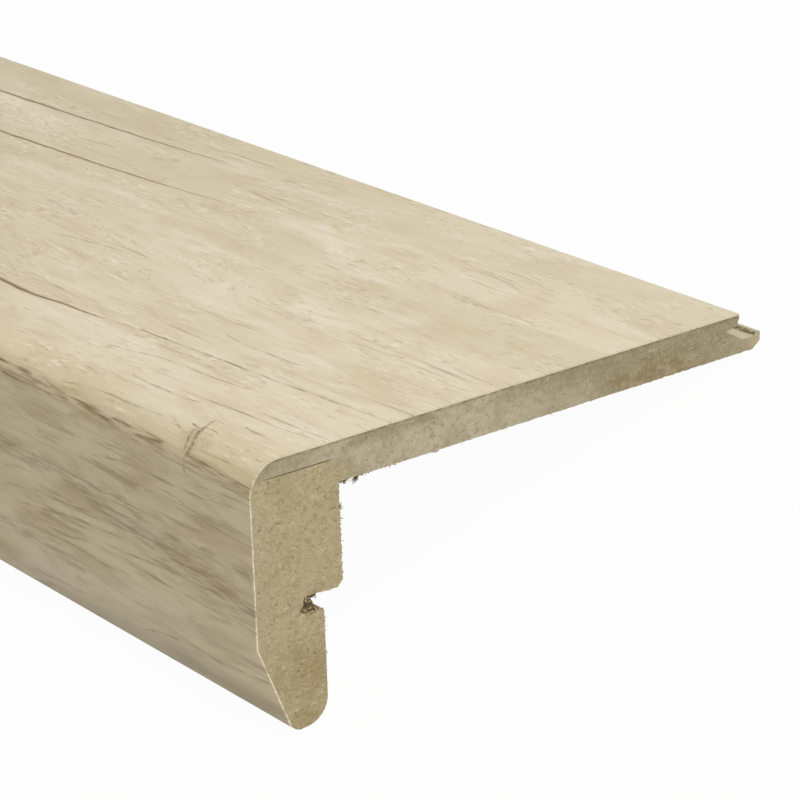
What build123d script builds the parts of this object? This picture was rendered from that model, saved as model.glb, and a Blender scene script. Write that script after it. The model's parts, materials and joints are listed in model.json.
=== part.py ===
from build123d import *
from math import asin, atan2, cos, degrees, hypot, radians, sin, tan
import os

# Landing nosing: a click floorboard whose front edge carries a glued-on nose block, with one
# sheet of decor foil wrapped over the tread, the rounded edge and the face of the nose.
# All sizes are in millimetres. The section is drawn in two directions, both measured from the
# corner where the tread's top plane meets the front plane of the nose:
#   u runs back from the front plane, and drops are measured down from the top of the tread.

# Whole section
nosing_length = 1300.0
tread_depth = 115.0          # front plane to the rear face of the board's upper lip
nose_height = 52.5
board_thickness = 8.0        # foil included
foil_thickness = 0.3
nose_radius = 6.5            # rounded front edge, over the foil

# Nose block
block_depth = 19.0           # front plane to the block's back
leaf_thickness = 3.5         # board left above the block, foil included
taper_drop = 34.7            # where the face starts to slope back
taper_angle = 21.0           # degrees away from the vertical face
toe_radius = 2.0             # front bottom edge
heel_radius = 5.0            # rear bottom edge
step_drop = 27.6             # underside of the step in the back
step_chamfer = 1.0
leg_depth = 14.75            # front plane to the back of the leg below the step
slot_height = 3.2            # slot between the step and the leg
slot_depth = 4.45            # from the leg's back
slot_radius = 0.6
leg_edge_radius = 0.5

# Click edge along the rear of the board
upper_lip_face = 1.0         # square part of the upper lip's rear face
upper_lip_thickness = 2.4
upper_lip_undercut = 0.6     # how far the lip's lower edge leans in
groove_depth = 3.7           # groove root in from the upper lip's face
groove_drop = 2.9            # groove root below the tread
channel_drop = 5.4           # floor of the lower lip's channel
channel_slope = 28.0         # degrees, from the root down to the channel
lower_lip_reach = 5.5        # lower lip past the upper lip's face
rim_width = 1.4
rim_height = 0.7             # locking rim above the channel floor
tip_drop = 6.6               # where the lip's tip starts its slope to the underside
tip_slope_run = 1.9
channel_radius = 2.5
tip_radius = 0.5
lip_edge_radius = 0.25       # small machined edges of the click profile

# Lines of the section worked out from the sizes above
core_radius = nose_radius - foil_thickness
core_taper_drop = taper_drop - foil_thickness * tan(radians(taper_angle / 2))
toe_u = foil_thickness + (nose_height - core_taper_drop) * tan(radians(taper_angle))
toe_tangent = toe_radius * tan(radians(45 - taper_angle / 2))
foil_foot = (
    toe_u - toe_tangent * sin(radians(taper_angle)),
    -nose_height + toe_tangent * cos(radians(taper_angle)),
)
slot_u = leg_depth - slot_depth
lip_tip_u = tread_depth + lower_lip_reach
groove_u = tread_depth - groove_depth
channel_u = groove_u + (channel_drop - groove_drop) / tan(radians(channel_slope))
rim_u = lip_tip_u - rim_width
lip_heel_u = lip_tip_u - tip_slope_run

# Everything that the foil wraps lies behind this face line
with BuildSketch() as core_profile:
    with BuildLine():
        FilletPolyline(
            (foil_thickness, -foil_thickness),
            (foil_thickness, -core_taper_drop),
            (toe_u, -nose_height),
            (lip_tip_u, -nose_height),
            (lip_tip_u, -foil_thickness),
            radius=[core_radius, 0, toe_radius, 0, 0],
            close=True,
        )
    make_face()

# Foil: one sheet from the rear of the tread to the foot of the taper
with BuildSketch() as foil_profile:
    with BuildLine():
        FilletPolyline(
            (tread_depth, -foil_thickness),
            (foil_thickness, -foil_thickness),
            (foil_thickness, -core_taper_drop),
            foil_foot,
            radius=[core_radius, 0],
        )
        offset(amount=foil_thickness, side=Side.RIGHT)
    make_face()

# Board: rebated from below for the block, with the click edge at the rear
with BuildSketch() as board_profile:
    with BuildLine():
        FilletPolyline(
            (foil_thickness, -foil_thickness),
            (tread_depth, -foil_thickness),
            (tread_depth, -upper_lip_face),
            (tread_depth - upper_lip_undercut, -upper_lip_thickness),
            (groove_u, -groove_drop),
            (channel_u, -channel_drop),
            (rim_u, -channel_drop),
            (rim_u, rim_height - channel_drop),
            (lip_tip_u, rim_height - channel_drop),
            (lip_tip_u, -tip_drop),
            (lip_heel_u, -board_thickness),
            (block_depth, -board_thickness),
            (block_depth, -leaf_thickness),
            (foil_thickness, -leaf_thickness),
            radius=[
                0,
                0,
                0,
                lip_edge_radius,
                lip_edge_radius,
                channel_radius,
                lip_edge_radius,
                lip_edge_radius,
                lip_edge_radius,
                tip_radius,
                tip_radius,
                0,
                0,
                0,
            ],
            close=True,
        )
    make_face()
    add(core_profile.sketch, mode=Mode.INTERSECT)

# Block: glued up into the rebate, with the step, slot and leg milled in its back
with BuildSketch() as block_profile:
    with BuildLine():
        FilletPolyline(
            (foil_thickness, -leaf_thickness),
            (block_depth, -leaf_thickness),
            (block_depth, step_chamfer - step_drop),
            (block_depth - step_chamfer, -step_drop),
            (slot_u, -step_drop),
            (slot_u, -step_drop - slot_height),
            (leg_depth, -step_drop - slot_height),
            (leg_depth, -nose_height),
            (foil_thickness, -nose_height),
            radius=[0, 0, 0, 0, slot_radius, slot_radius, leg_edge_radius, heel_radius, 0],
            close=True,
        )
    make_face()
    add(core_profile.sketch, mode=Mode.INTERSECT)

# The piece lies unheld with its tread up: it stands on the nose's rear bottom edge and on the
# lower lip's heel, so the tread slopes down to the rear.
tip_slope_angle = atan2(board_thickness - tip_drop, tip_slope_run)
nose_edge = (leg_depth - heel_radius, heel_radius - nose_height)
lip_edge = (lip_heel_u - tip_radius * tan(tip_slope_angle / 2), tip_radius - board_thickness)
edge_run = lip_edge[0] - nose_edge[0]
edge_rise = lip_edge[1] - nose_edge[1]
rest_tilt = atan2(edge_rise, edge_run) + asin((heel_radius - tip_radius) / hypot(edge_run, edge_rise))
rest_plane = Plane(origin=(0, 0, 0), x_dir=(0, cos(rest_tilt), -sin(rest_tilt)), z_dir=(1, 0, 0))

with BuildSketch(rest_plane) as whole_profile:
    add(board_profile.sketch)
    add(block_profile.sketch)
    add(foil_profile.sketch)

# The origin is the middle of the footprint, on the floor
profile_box = whole_profile.sketch.bounding_box()
section_plane = Plane(
    origin=(0, -profile_box.center().Y, -profile_box.min.Z),
    x_dir=rest_plane.x_dir,
    z_dir=rest_plane.z_dir,
)

with BuildPart() as hdf_board:
    with BuildSketch(section_plane):
        add(board_profile.sketch)
    extrude(amount=nosing_length / 2, both=True)

with BuildPart() as mdf_nose_block:
    with BuildSketch(section_plane):
        add(block_profile.sketch)
    extrude(amount=nosing_length / 2, both=True)

with BuildPart() as decor_foil:
    with BuildSketch(section_plane):
        add(foil_profile.sketch)
    extrude(amount=nosing_length / 2, both=True)

hdf_board.part.label = "hdf_board"
mdf_nose_block.part.label = "mdf_nose_block"
decor_foil.part.label = "decor_foil"

os.makedirs("parts", exist_ok=True)
export_step(hdf_board.part, "parts/hdf_board.step")
export_step(mdf_nose_block.part, "parts/mdf_nose_block.step")
export_step(decor_foil.part, "parts/decor_foil.step")

print(f"rest tilt {degrees(rest_tilt):.2f} degrees")
print(f"section origin {tuple(round(v, 3) for v in section_plane.origin)}")
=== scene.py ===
import json
import math
import random

import bmesh
import bpy
from mathutils import Matrix, Vector


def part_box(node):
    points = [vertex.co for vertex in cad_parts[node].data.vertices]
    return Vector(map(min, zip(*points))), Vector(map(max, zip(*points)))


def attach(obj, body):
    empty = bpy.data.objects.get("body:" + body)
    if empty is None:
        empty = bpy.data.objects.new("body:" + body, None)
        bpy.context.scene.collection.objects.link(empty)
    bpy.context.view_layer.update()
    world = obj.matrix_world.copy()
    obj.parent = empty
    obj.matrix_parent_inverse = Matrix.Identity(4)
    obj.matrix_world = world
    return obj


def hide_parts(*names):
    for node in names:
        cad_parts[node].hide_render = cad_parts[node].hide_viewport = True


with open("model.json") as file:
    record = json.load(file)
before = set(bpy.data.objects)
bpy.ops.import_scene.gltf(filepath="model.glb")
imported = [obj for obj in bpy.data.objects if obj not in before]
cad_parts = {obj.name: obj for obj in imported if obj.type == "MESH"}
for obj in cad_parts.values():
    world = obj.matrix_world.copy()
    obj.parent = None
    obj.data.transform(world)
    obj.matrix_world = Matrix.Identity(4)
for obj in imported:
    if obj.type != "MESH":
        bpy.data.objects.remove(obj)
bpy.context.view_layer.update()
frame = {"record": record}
print("frame loaded")

mm = 0.001
weldGap = 0.002 * mm          # points closer than this become one
touchGap = 0.01 * mm          # a point closer than this lies on a corner, a plane or a cut end
faceGap = 0.05 * mm           # a point closer than this belongs to a long face of the section
endRows = (0.25, 0.6, 1.2, 2.2)    # rows of points across the boards, millimetres in from the ends
leastWeight = 0.001

# Sizes of the section, in millimetres: u runs back from the front face, w is up from the tread
section = {
    "blockDepth": 19.0,
    "boardThickness": 8.0,
    "treadDepth": 115.0,
    "foilThickness": 0.3,
    "noseRadius": 6.5,
    "seamDrop": 3.5,
    "noseHeight": 52.5,
    "taperDrop": 34.7,
    "taperAngle": 21.0,
}

mounts = {mount["name"]: mount for mount in frame["record"]["mounts"]}
sectionUp = -Vector(mounts["landing_seat"]["axis"])
sectionBack = Vector(mounts["landing_edge_face"]["axis"])
seatHeight = sectionUp.dot(Vector(mounts["landing_seat"]["pos_m"])) + section["boardThickness"] * mm
edgeDepth = sectionBack.dot(Vector(mounts["landing_edge_face"]["pos_m"])) - section["blockDepth"] * mm
sectionOrigin = sectionUp * seatHeight + sectionBack * edgeDepth
sectionFrame = Matrix.Translation(sectionOrigin) @ Matrix(
    [[1, 0, 0], [0, sectionBack.y, sectionUp.y], [0, sectionBack.z, sectionUp.z]]
).to_4x4()
restTilt = math.atan2(-sectionBack.z, sectionBack.y)
foilLow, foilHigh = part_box("decor_foil")
halfLength = (foilHigh.x - foilLow.x) / 2
endPlane = halfLength - touchGap
print(f"section stands {math.degrees(restTilt):.2f} degrees off level, half length {halfLength:.3f} m")


def linearColour(hexCode):
    # sRGB hex to the linear values that Blender works in
    channels = [int(hexCode[i:i + 2], 16) / 255 for i in (1, 3, 5)]
    linear = [c / 12.92 if c <= 0.04045 else ((c + 0.055) / 1.055) ** 2.4 for c in channels]
    return (*linear, 1.0)


def addNode(tree, kind, settings=None, links=None):
    # a setting goes to the node's own attribute of that name, or else to the socket of that name or
    # number; a link goes to a socket
    node = tree.nodes.new(kind)
    for key, value in (settings or {}).items():
        if isinstance(key, str) and hasattr(node, key):
            setattr(node, key, value)
    for key, value in (settings or {}).items():
        if isinstance(key, int) or not hasattr(node, key):
            node.inputs[key].default_value = value
    for key, socket in (links or {}).items():
        tree.links.new(socket, node.inputs[key])
    return node


def newMaterial(name):
    material = bpy.data.materials.new(name)
    material.use_nodes = True
    material.node_tree.nodes.clear()
    return material, material.node_tree


# Edit mode helpers: all of them act on the piece in hand
def startEdit(piece, mode="VERT"):
    bpy.ops.object.select_all(action="DESELECT")
    bpy.context.view_layer.objects.active = piece
    piece.select_set(True)
    bpy.ops.object.mode_set(mode="EDIT")
    bpy.ops.mesh.select_mode(type=mode)
    bpy.ops.mesh.select_all(action="DESELECT")


def endEdit():
    bpy.ops.object.mode_set(mode="OBJECT")


def pick(piece, kind, test):
    # selects the verts, edges or faces for which test holds
    mesh = bmesh.from_edit_mesh(piece.data)
    found = [part for part in getattr(mesh, kind) if not part.hide and test(part)]
    for part in found:
        part.select_set(True)
    mesh.select_flush_mode()
    bmesh.update_edit_mesh(piece.data)
    return len(found)


def roundCorner(piece, corner, radius, turn, segments):
    # the long edge that stands at this corner of the section gets its radius
    bpy.ops.mesh.select_mode(type="EDGE")
    bpy.ops.mesh.select_all(action="DESELECT")
    here = Vector(corner) * mm
    count = pick(piece, "edges", lambda edge: all((v.co.yz - here).length < touchGap for v in edge.verts))
    if count != 1:
        raise ValueError(f"{piece.name}: {count} edges at corner {corner}")
    reach = radius * math.tan(math.radians(turn) / 2)
    bpy.ops.mesh.bevel(offset=reach * mm, offset_type="OFFSET", segments=segments, affect="EDGES")


def turnAt(before, corner, after):
    # degrees by which an outline turns at a corner
    a = Vector((corner[0] - before[0], corner[1] - before[1]))
    b = Vector((after[0] - corner[0], after[1] - corner[1]))
    return math.degrees(a.angle(b))


def traceOutline(name, moves, segments):
    # one corner pulled round the section, by straight runs and turns about a centre, back to where
    # it started; the outline is then run along the length and its rounded corners get their radii
    startCorner = moves[-1]["to"]
    bpy.ops.object.select_all(action="DESELECT")
    bpy.ops.mesh.primitive_plane_add(size=mm)
    piece = bpy.context.object
    piece.name = piece.data.name = name
    startEdit(piece)
    bpy.ops.mesh.select_all(action="SELECT")
    bpy.ops.mesh.merge(type="CENTER")
    bpy.ops.transform.translate(value=(-halfLength, startCorner[0] * mm, startCorner[1] * mm))
    u, w = startCorner
    for move in moves:
        if "angle" in move:
            centre = Vector((-halfLength, move["centre"][0] * mm, move["centre"][1] * mm))
            turn = math.radians(move["angle"])
            bpy.ops.mesh.spin(steps=move["steps"], angle=turn, center=centre, axis=(-1, 0, 0))
        else:
            step = (0, (move["to"][0] - u) * mm, (move["to"][1] - w) * mm)
            bpy.ops.mesh.extrude_region_move(TRANSFORM_OT_translate={"value": step})
        u, w = move["to"]
    bpy.ops.mesh.select_all(action="SELECT")
    bpy.ops.mesh.remove_doubles(threshold=weldGap)
    bpy.ops.mesh.select_all(action="SELECT")
    bpy.ops.mesh.edge_face_add()
    bpy.ops.mesh.extrude_region_move(TRANSFORM_OT_translate={"value": (2 * halfLength, 0, 0)})
    bpy.ops.mesh.select_all(action="SELECT")
    bpy.ops.mesh.normals_make_consistent(inside=False)
    for before, move, after in zip(moves[-1:] + moves[:-1], moves, moves[1:] + moves[:1]):
        if "radius" in move:
            turn = turnAt(before["to"], move["to"], after["to"])
            roundCorner(piece, move["to"], move["radius"], turn, segments)
    return piece


def cutRows(distances):
    # rows across the stock, the same number of millimetres in from both ends
    for side in (-1, 1):
        for distance in distances:
            bpy.ops.mesh.select_all(action="SELECT")
            at = side * (halfLength - distance * mm)
            bpy.ops.mesh.bisect(plane_co=(at, 0, 0), plane_no=(1, 0, 0))


def gridEnds(piece, uRange, wRange, pitch, seamEdge):
    # both cut ends, and the sides out to the last row, are cut into a fine grid, with one more cut
    # where the open seam ends
    bpy.ops.mesh.select_mode(type="FACE")
    bpy.ops.mesh.select_all(action="DESELECT")
    lastRow = halfLength - endRows[-1] * mm - touchGap
    pick(piece, "faces", lambda face: all(abs(v.co.x) > lastRow for v in face.verts))
    bpy.ops.mesh.hide(unselected=True)
    for low, high, normal in ((*wRange, Vector((0, 0, 1))), (*uRange, Vector((0, 1, 0)))):
        count = round((high - low) / pitch)
        places = [low + (high - low) * i / count for i in range(1, count)]
        if normal.z:
            places.append(seamEdge)
        for place in places:
            bpy.ops.mesh.select_all(action="SELECT")
            bpy.ops.mesh.bisect(plane_co=normal * place * mm, plane_no=normal)
    bpy.ops.mesh.reveal()


def weightGroup(piece, name, weightOf):
    # every point of the piece gets the weight that belongs to its place
    group = piece.vertex_groups.new(name=name)
    for v in piece.data.vertices:
        weight = weightOf(v.co)
        if weight > leastWeight:
            group.add([v.index], min(weight, 1.0), "REPLACE")


def nearEnd(co, reach):
    # 1 at the cut ends, fading to 0 this many millimetres in
    return max(0, 1 - (halfLength - abs(co.x)) / (reach * mm))


def displace(piece, group, direction, strength, size=None, middle=0.5):
    # a Displace modifier on one vertex group, applied at once; with a size it follows a cloud noise
    modifier = piece.modifiers.new("relief", "DISPLACE")
    modifier.vertex_group = group
    modifier.direction = direction
    modifier.strength = strength * mm
    modifier.mid_level = middle
    if size:
        texture = bpy.data.textures.new(group, "CLOUDS")
        texture.noise_scale = size * mm
        modifier.texture = texture
        modifier.texture_coords = "LOCAL"
    bpy.context.view_layer.objects.active = piece
    bpy.ops.object.modifier_apply(modifier=modifier.name)


def seatPiece(piece, node):
    # turns a piece from the section into the row's frame and hands it over
    bpy.ops.object.select_all(action="DESELECT")
    bpy.context.view_layer.objects.active = piece
    piece.select_set(True)
    piece.matrix_world = sectionFrame @ piece.matrix_world
    bpy.ops.object.transform_apply(location=True, rotation=True, scale=True)
    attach(piece, "root")
    if node:
        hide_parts(node)


# Tread board: 8 mm high-density fibreboard with the click edge at its rear
treadBoard = {
    "grooveRoot": (111.3, -2.9),
    "upperLip": ((114.4, -2.4), (115.0, -1.0)),
    # the channel's floor ends at the rim and where the slope of 28 degrees from the root meets it
    "channel": ((119.1, -5.4), (116.0018, -5.4)),
    "rim": ((120.5, -4.7), (119.1, -4.7)),
    "tip": ((118.6, -8.0), (120.5, -6.6)),
    "channelRadius": 2.5,
    "tipRadius": 0.5,
    "lipEdgeRadius": 0.25,
    "roundSegments": 4,
    "arcSteps": 14,
    "gridPitch": 0.4,
    "markSizes": (0.9, 6.0),      # fine and coarse marks of the saw on the ends
    "markDepth": 0.13,
    "torn": 0.32,                 # how far fibres stand out along the lower arris
    "tornSize": 0.8,
    "tornMiddle": 0.6,            # the noise value that moves nothing
    "tornReach": 1.2,             # how far in from the ends
    "tornFrom": 20.0,             # behind the block
    "seamDepth": 0.9,             # of the open glue line at the near end
    "seamHalf": 0.15,
    "seamOpens": (2.5, 9.5),      # back from the face: where it begins to open, and is open
    "seamCloses": (16.2, 18.2),
}

front = section["foilThickness"]
arcCentre = (section["noseRadius"], -section["noseRadius"])
coreRadius = section["noseRadius"] - front
seamAngle = math.degrees(math.acos((section["noseRadius"] - section["seamDrop"]) / coreRadius))
seamFront = (arcCentre[0] - coreRadius * math.sin(math.radians(seamAngle)), -section["seamDrop"])
boardUnder = -section["boardThickness"]


def openSeam(piece):
    # the glue line stands open at the near end and closes towards the nose; at the far end its
    # points move the same way along the stock, so there it stands out instead
    opens, opened = treadBoard["seamOpens"]
    closes, closed = treadBoard["seamCloses"]

    def seamWeight(co):
        if abs(co.x) < endPlane or abs(co.z - seamFront[1] * mm) > touchGap:
            return 0.0
        u = co.y / mm
        return max(0.0, min(1.0, (u - opens) / (opened - opens), (closed - u) / (closed - closes)))

    weightGroup(piece, "seam", seamWeight)
    displace(piece, "seam", "X", -treadBoard["seamDepth"], middle=0.0)


def makeTreadBoard():
    s = treadBoard
    blockBack = section["blockDepth"]
    piece = traceOutline("treadBoard", [
        {"to": (arcCentre[0], -front)},
        {"to": seamFront, "centre": arcCentre, "angle": seamAngle, "steps": s["arcSteps"]},
        {"to": (blockBack, seamFront[1])},
        {"to": (blockBack, boardUnder)},
        {"to": s["tip"][0], "radius": s["tipRadius"]},
        {"to": s["tip"][1], "radius": s["tipRadius"]},
        {"to": s["rim"][0], "radius": s["lipEdgeRadius"]},
        {"to": s["rim"][1], "radius": s["lipEdgeRadius"]},
        {"to": s["channel"][0], "radius": s["lipEdgeRadius"]},
        {"to": s["channel"][1], "radius": s["channelRadius"]},
        {"to": s["grooveRoot"], "radius": s["lipEdgeRadius"]},
        {"to": s["upperLip"][0], "radius": s["lipEdgeRadius"]},
        {"to": s["upperLip"][1], "radius": s["lipEdgeRadius"]},
        {"to": (section["treadDepth"], -front)},
    ], s["roundSegments"])
    cutRows(endRows)
    gridEnds(piece, (0, s["tip"][1][0]), (boardUnder, 0), s["gridPitch"], seamFront[1] + s["seamHalf"])
    endEdit()
    openSeam(piece)

    def arrisWeight(co):
        onUnderside = co.z < boardUnder * mm + faceGap and co.y > s["tornFrom"] * mm
        return nearEnd(co, s["tornReach"]) if onUnderside else 0.0

    weightGroup(piece, "sawnEnd", lambda co: 1.0 if abs(co.x) > endPlane else 0.0)
    weightGroup(piece, "lowerArris", arrisWeight)
    for size in s["markSizes"]:
        displace(piece, "sawnEnd", "X", s["markDepth"], size)
    displace(piece, "lowerArris", "Z", s["torn"], s["tornSize"], middle=s["tornMiddle"])
    return piece


# Nose block: medium-density fibreboard with the step, slot and leg milled in its back
noseBlock = {
    "toeRadius": 2.0,
    "stepDrop": 27.6,
    "stepChamfer": 1.0,
    "legDepth": 14.75,
    "slotHeight": 3.2,
    "slotDepth": 4.45,
    "heelRadius": 5.0,
    "legEdgeRadius": 0.5,
    "slotRadius": 0.6,
    "roundSegments": 8,
    "arcSteps": 7,
    "gridPitch": 0.4,
    "markSizes": (0.8, 5.0),
    "markDepth": 0.16,
    "torn": 0.45,                 # how far fibres stand out along the rear arris
    "tornSize": 0.7,
    "tornMiddle": 0.45,
    "tornReach": 1.2,
    "tornFrom": -8.5,             # below the board
    "chipWall": 0.6,              # below 1 a chip has steeper walls and a flatter floor
    # chips out of the cut end: back, up, radius, depth
    "chips": (
        (10.6, -30.2, 1.1, 0.55), (12.2, -29.6, 1.3, 0.5), (13.6, -30.6, 0.9, 0.45),
        (9.6, -30.6, 0.7, 0.3), (11.6, -28.0, 0.9, 0.35), (13.4, -27.7, 0.8, 0.35),
        (17.7, -12.8, 0.45, 0.5), (8.6, -29.4, 0.8, 0.22),
    ),
}


def makeNoseBlock():
    s = noseBlock
    coreTaper = section["taperDrop"] - front * math.tan(math.radians(section["taperAngle"] / 2))
    bottom = -section["noseHeight"]
    toeU = front + (section["noseHeight"] - coreTaper) * math.tan(math.radians(section["taperAngle"]))
    step = -s["stepDrop"]
    slotLow = step - s["slotHeight"]
    slotU = s["legDepth"] - s["slotDepth"]
    back = section["blockDepth"]
    piece = traceOutline("noseBlock", [
        {
            "to": (front, -section["noseRadius"]),
            "centre": arcCentre, "angle": 90 - seamAngle, "steps": s["arcSteps"],
        },
        {"to": (front, -coreTaper)},
        {"to": (toeU, bottom), "radius": s["toeRadius"]},
        {"to": (s["legDepth"], bottom), "radius": s["heelRadius"]},
        {"to": (s["legDepth"], slotLow), "radius": s["legEdgeRadius"]},
        {"to": (slotU, slotLow), "radius": s["slotRadius"]},
        {"to": (slotU, step), "radius": s["slotRadius"]},
        {"to": (back - s["stepChamfer"], step)},
        {"to": (back, step + s["stepChamfer"])},
        {"to": (back, seamFront[1])},
        {"to": seamFront},
    ], s["roundSegments"])
    cutRows(endRows)
    gridEnds(piece, (0, back), (bottom, 0), s["gridPitch"], seamFront[1] - treadBoard["seamHalf"])
    endEdit()
    openSeam(piece)

    def chipWeight(co):
        # the depth of the chips here, in millimetres
        if co.x < endPlane:
            return 0.0
        depths = [
            depth * max(0, 1 - math.hypot(co.y / mm - u, co.z / mm - w) / radius) ** s["chipWall"]
            for u, w, radius, depth in s["chips"]
        ]
        return min(1.0, sum(depths))

    def arrisWeight(co):
        onBack = co.y > back * mm - faceGap
        onStep = abs(co.z - step * mm) < faceGap and co.y > slotU * mm
        torn = (onBack or onStep) and co.z < s["tornFrom"] * mm
        return nearEnd(co, s["tornReach"]) if torn else 0.0

    weightGroup(piece, "sawnEnd", lambda co: 1.0 if abs(co.x) > endPlane else 0.0)
    weightGroup(piece, "chips", chipWeight)
    weightGroup(piece, "tornArris", arrisWeight)
    for size in s["markSizes"]:
        displace(piece, "sawnEnd", "X", s["markDepth"], size)
    displace(piece, "chips", "X", -1.0, middle=0.0)
    displace(piece, "tornArris", "NORMAL", s["torn"], s["tornSize"], middle=s["tornMiddle"])
    return piece


# Decor foil: one sheet over the tread, round the nose and down the taper
decorFoil = {
    "arcSteps": 16,
    "treadCuts": 216,
    "faceCuts": 56,
    "taperCuts": 34,
    "rows": (0.3, 0.8, 1.6, 4, 10, 30, 90, 200, 400),
    "foot": (6.381, -51.3245),    # where the taper ends and the toe's radius starts
    "wobble": 0.18,               # of the sawn edge, in and out
    "wobbleSize": 1.2,
    "grain": "grain",
}


def acrossFoil(u, w):
    # millimetres along the sheet from its rear edge, by the place of a point on its section
    r = section["noseRadius"]
    rear = section["treadDepth"]
    if u > r and w > -r:
        return rear - u
    if w > -r:
        angle = math.atan2(r - u, w + r)
        return rear - r + r * angle
    faceStart = rear - r + r * math.pi / 2
    if w > -section["taperDrop"]:
        return faceStart - r - w
    taper = math.cos(math.radians(section["taperAngle"]))
    return faceStart - r + section["taperDrop"] + (-section["taperDrop"] - w) / taper


def makeDecorFoil():
    s = decorFoil
    r = section["noseRadius"]
    rear = section["treadDepth"]
    taperTop = -section["taperDrop"]
    bpy.ops.object.select_all(action="DESELECT")
    bpy.ops.mesh.primitive_plane_add(size=1, location=(0, 0, 0))
    piece = bpy.context.object
    piece.name = piece.data.name = "decorFoil"
    startEdit(piece)
    bpy.ops.mesh.select_all(action="SELECT")
    bpy.ops.transform.resize(value=(2 * halfLength, (rear - r) * mm, 1))
    bpy.ops.transform.translate(value=(0, (rear + r) / 2 * mm, 0))
    bpy.ops.mesh.select_mode(type="EDGE")
    bpy.ops.mesh.select_all(action="DESELECT")
    pick(piece, "edges", lambda edge: all(v.co.y < r * mm + touchGap for v in edge.verts))
    bpy.ops.mesh.spin(steps=s["arcSteps"], angle=math.pi / 2, center=(0, r * mm, -r * mm), axis=(-1, 0, 0))
    for step in ((0, 0, r + taperTop), (0, s["foot"][0], s["foot"][1] - taperTop)):
        bpy.ops.mesh.extrude_region_move(TRANSFORM_OT_translate={"value": Vector(step) * mm})
    # the edges down the section are cut by their height: the tread's, the face's, the taper's
    for low, high, cuts in (
        (0, 0, s["treadCuts"]), (taperTop, -r, s["faceCuts"]), (s["foot"][1], taperTop, s["taperCuts"]),
    ):
        bpy.ops.mesh.select_all(action="DESELECT")
        pick(piece, "edges", lambda edge: abs(edge.verts[0].co.x - edge.verts[1].co.x) < touchGap and all(
            low * mm - touchGap < v.co.z < high * mm + touchGap for v in edge.verts
        ))
        bpy.ops.mesh.subdivide(number_cuts=cuts)
    bpy.ops.mesh.select_mode(type="FACE")
    cutRows(s["rows"])
    bpy.ops.mesh.select_all(action="SELECT")
    bpy.ops.mesh.remove_doubles(threshold=weldGap)
    bpy.ops.mesh.select_all(action="SELECT")
    bpy.ops.mesh.normals_make_consistent(inside=False)
    # the sheet is open, so its outside is set by the tread's face, which looks up
    mesh = bmesh.from_edit_mesh(piece.data)
    top = max(mesh.faces, key=lambda face: face.calc_center_median().y)
    if top.normal.z < 0:
        bpy.ops.mesh.flip_normals()
    endEdit()
    weightGroup(piece, "cutEdge", lambda co: 1.0 if abs(co.x) > endPlane else 0.0)
    displace(piece, "cutEdge", "X", s["wobble"], s["wobbleSize"])
    modifier = piece.modifiers.new("sheet", "SOLIDIFY")
    modifier.thickness = section["foilThickness"] * mm
    modifier.offset = -1
    modifier.use_even_offset = True
    modifier.material_offset_rim = 1
    bpy.ops.object.modifier_apply(modifier=modifier.name)
    grain = piece.data.uv_layers.new(name=s["grain"])
    for loop in piece.data.loops:
        co = piece.data.vertices[loop.vertex_index].co
        grain.data[loop.index].uv = (co.x, acrossFoil(co.y / mm, co.z / mm) * mm)
    return piece


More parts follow.
